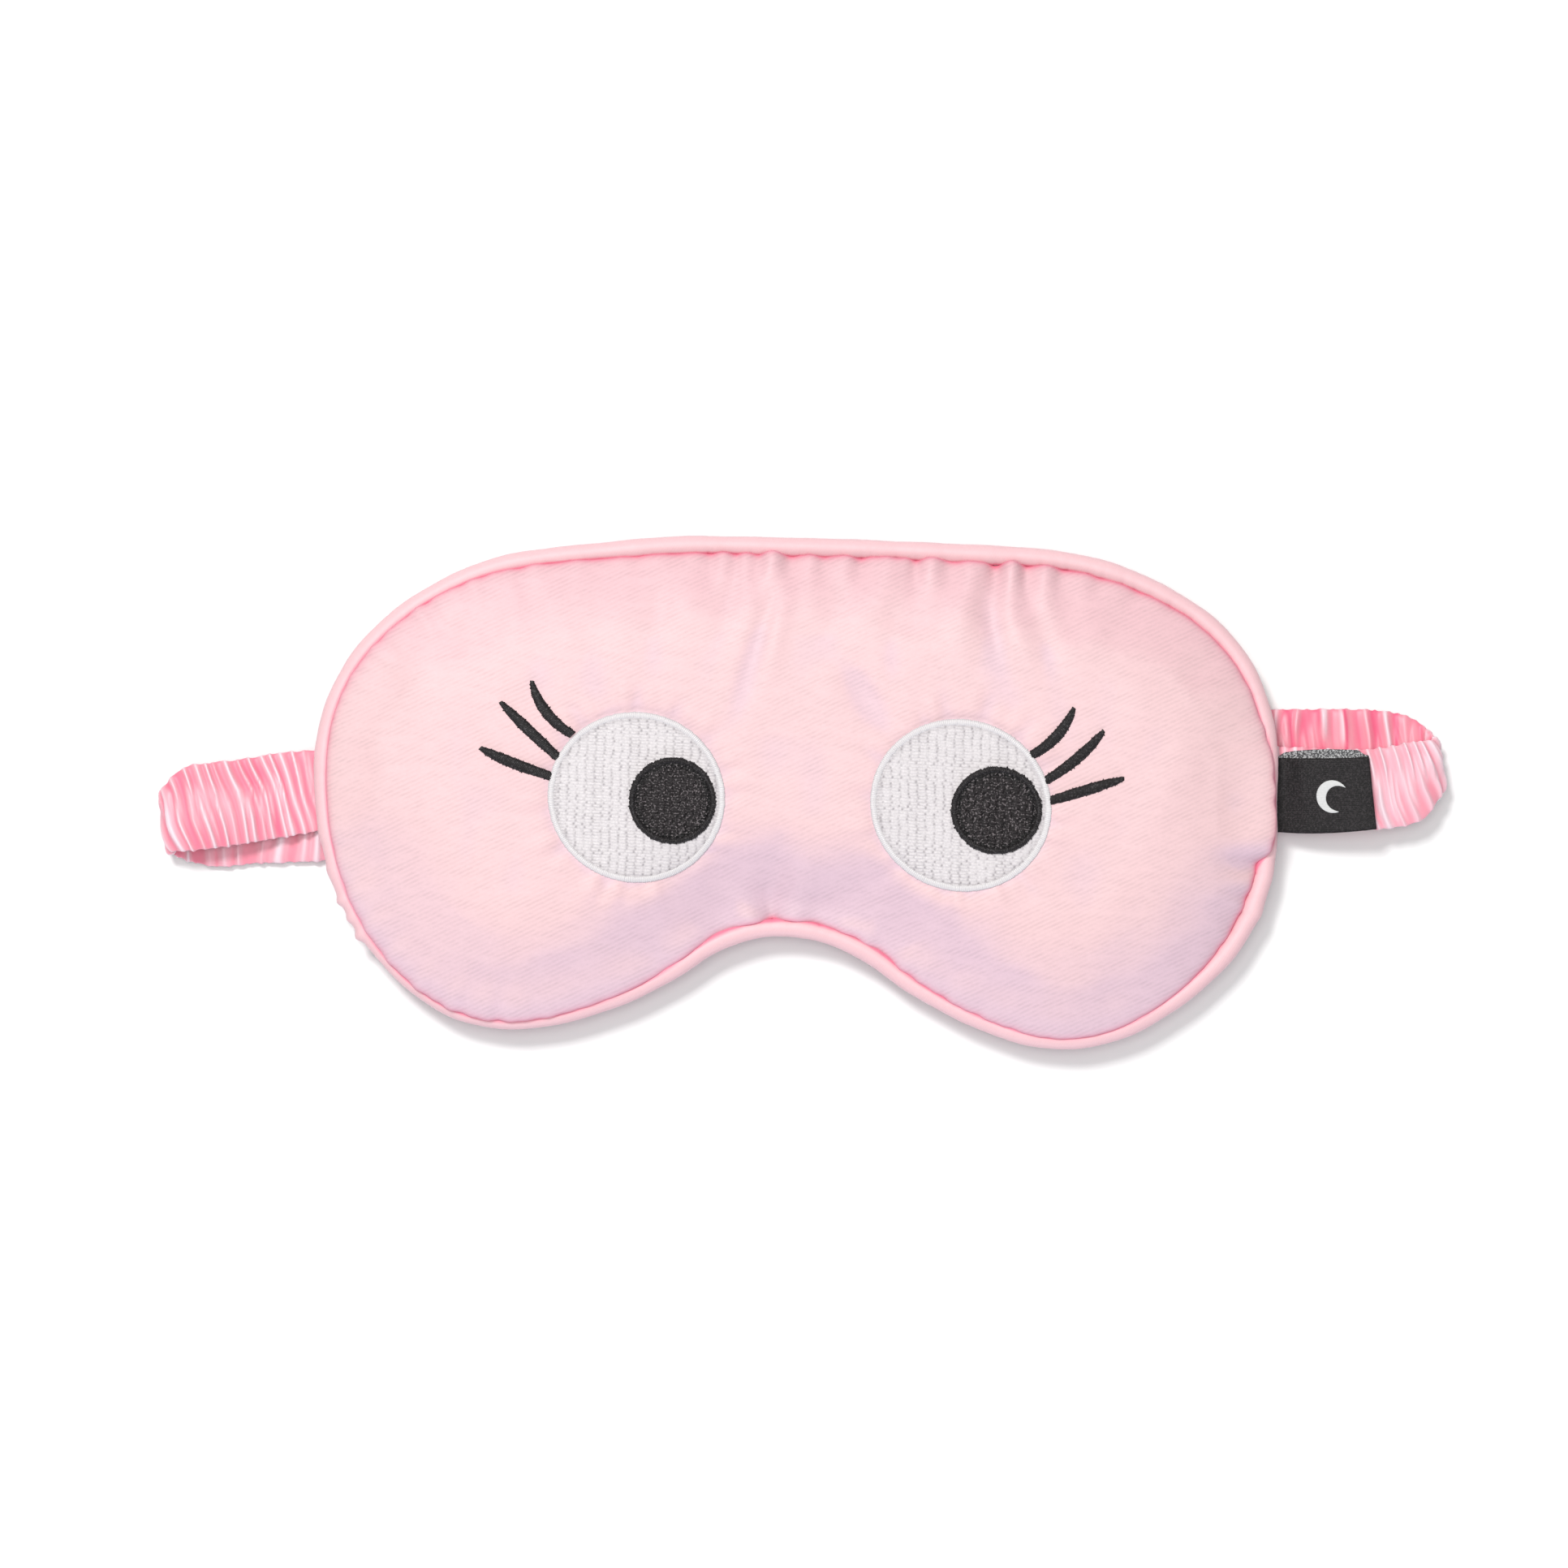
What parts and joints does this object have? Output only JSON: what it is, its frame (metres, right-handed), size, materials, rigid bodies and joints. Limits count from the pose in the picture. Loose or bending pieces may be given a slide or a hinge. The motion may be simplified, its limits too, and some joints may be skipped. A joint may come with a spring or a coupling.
{
  "type": "sleep eye mask",
  "caption": "Padded satin sleep mask with piped edge, embroidered open eyes and lashes, ruched elastic head strap and folded woven side label.",
  "frame": {"origin": "centre of the overall footprint, on the surface the mask lies on, face up", "axes": "+Z out of the embroidered face, +Y towards the brow edge, +X towards the side that carries the woven label"},
  "size_m": [0.2662, 0.1036, 0.017],
  "materials": {
    "peach_satin": "pale peach-pink polyester satin, soft directional sheen",
    "lining_satin": "pale pink satin lining",
    "interlining": "black light-proof interlining",
    "wadding": "white polyester wadding",
    "stabiliser": "white non-woven embroidery backing",
    "cord": "soft cotton filler cord",
    "sewing_thread": "pink polyester sewing thread",
    "white_thread": "white rayon embroidery thread, satin sheen",
    "charcoal_thread": "charcoal rayon embroidery thread",
    "strap_satin": "ruched pink satin",
    "elastic": "knitted white elastic",
    "label_weave": "black woven satin label",
    "label_motif_thread": "off-white weft motif"
  },
  "bodies": {
    "strap": {"strap_cover": "strap_satin", "elastic_band": "elastic"},
    "mask": {"wadding": "wadding", "front_panel": "peach_satin", "back_lining": "lining_satin", "blackout_layer": "interlining", "left_embroidery_backing": "stabiliser", "right_embroidery_backing": "stabiliser", "piping_cover": "peach_satin", "piping_cord": "cord", "seam_thread": "sewing_thread", "left_eye_white": "white_thread", "left_eye_border": "white_thread", "left_pupil": "charcoal_thread", "left_pupil_border": "charcoal_thread", "right_eye_white": "white_thread", "right_eye_border": "white_thread", "right_pupil": "charcoal_thread", "right_pupil_border": "charcoal_thread", "left_lashes": "charcoal_thread", "right_lashes": "charcoal_thread", "left_strap_tack": "sewing_thread", "right_strap_tack": "sewing_thread", "label_seam_tail": "label_weave"},
    "label_flap": {"label": "label_weave", "label_motif": "label_motif_thread"}
  },
  "joints": [
    {"name": "strap_stretch", "type": "slide", "parent": "strap", "child": "mask", "axis": [0, 0, 1], "range_m": [0, 0.1], "stiffness_N_per_m": 140, "deforming": ["strap_cover", "elastic_band"]},
    {"name": "label_fold", "type": "hinge", "parent": "mask", "child": "label_flap", "pos_m": [0.1012, 0.0017, 0.00645], "axis": [0, -1, 0], "range_deg": [0, 80]}
  ]
}
